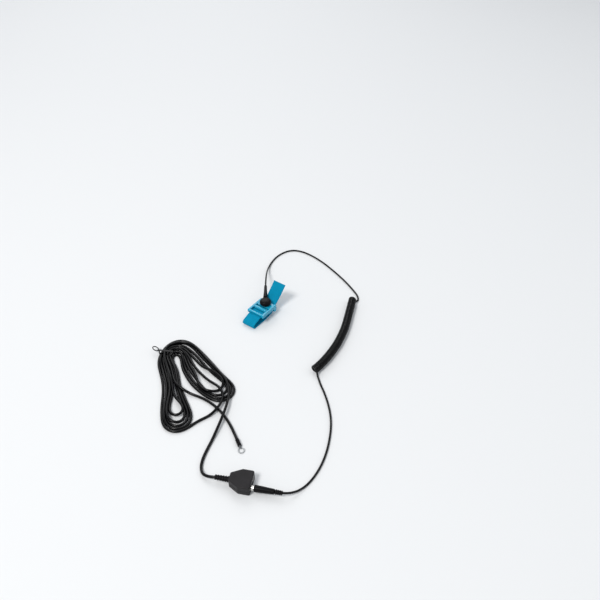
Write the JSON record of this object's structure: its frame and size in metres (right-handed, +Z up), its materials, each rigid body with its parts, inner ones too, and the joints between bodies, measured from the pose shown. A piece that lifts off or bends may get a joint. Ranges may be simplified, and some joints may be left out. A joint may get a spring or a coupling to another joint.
{
  "type": "esd wrist strap",
  "caption": "Elastic wristband with a buckle and snap, on a coil cord plugged into a common-point ground cord with a ring terminal.",
  "frame": {"origin": "on the floor under the middle of the wristband's own box, cords left out", "axes": "+X along the wristband towards its loose tail, +Y across it towards the side the coil cord leaves on, +Z up"},
  "size_m": [0.4069, 0.2863, 0.0321],
  "materials": {
    "elastic_blue": "woven elastic webbing, matt",
    "buckle_blue": "glossy moulded plastic",
    "black_plastic": "satin moulded plastic",
    "black_cord": "satin polyurethane jacket",
    "housing_black": "fine-grained moulded plastic",
    "nickel": "bright nickel plate",
    "stainless": "plain stainless steel",
    "brass": "plain brass",
    "resistor_body": "painted resistor body",
    "tin": "bright tin plate",
    "tie_black": "plastic-coated twist tie"
  },
  "bodies": {
    "wristband": {"elastic_band": "elastic_blue", "buckle_frame": "buckle_blue", "snap_stud": "nickel", "stud_contact_plate": "stainless"},
    "locking_bar": {"locking_bar": "buckle_blue"},
    "snap_socket": {"snap_socket": "nickel", "snap_spring": "stainless"},
    "coil_cord": {"connector_base": "black_plastic", "connector_cover": "black_plastic", "connector_boot": "black_plastic", "safety_resistor": "resistor_body", "lead_to_connector": "black_cord", "coil": "black_cord", "lead_to_plug": "black_cord"},
    "plug": {"plug_pin": "nickel", "plug_springs": "nickel", "plug_collar": "nickel", "plug_handle": "black_plastic", "plug_relief": "black_plastic"},
    "ground_lead": {"housing_lower": "housing_black", "housing_upper": "housing_black", "jack_sleeve_used": "nickel", "jack_sleeve_free": "nickel", "bus_strip": "brass", "cord_crimp": "brass", "mat_resistor": "resistor_body", "mat_snap": "nickel", "ground_relief": "black_plastic", "ground_lead_near": "black_cord", "hank_right": "black_cord", "ground_lead_cross": "black_cord", "hank_left": "black_cord", "cord_tie": "tie_black", "ring_lead": "black_cord", "ring_sleeve": "black_plastic", "ring_terminal": "tin"}
  },
  "joints": [
    {"name": "lock_hinge", "type": "hinge", "parent": "wristband", "child": "locking_bar", "pos_m": [-0.0095, 0, 0.0135], "axis": [0, -1, 0], "range_deg": [0, 80]},
    {"name": "snap_release", "type": "slide", "parent": "wristband", "child": "snap_socket", "axis": [0, 0, 1], "range_m": [0, 0.008]},
    {"name": "connector_swivel", "type": "hinge", "parent": "snap_socket", "child": "coil_cord", "pos_m": [0.0025, 0, 0.018], "axis": [0, 0, 1], "range_deg": [0, 280]},
    {"name": "plug_turn", "type": "hinge", "parent": "coil_cord", "child": "plug", "pos_m": [-0.2355, -0.169, 0.00625], "axis": [0.4226, -0.9063, 0], "continuous": true},
    {"name": "jack_pull", "type": "slide", "parent": "coil_cord", "child": "ground_lead", "axis": [-0.4226, 0.9063, 0], "range_m": [0, 0.028]}
  ]
}
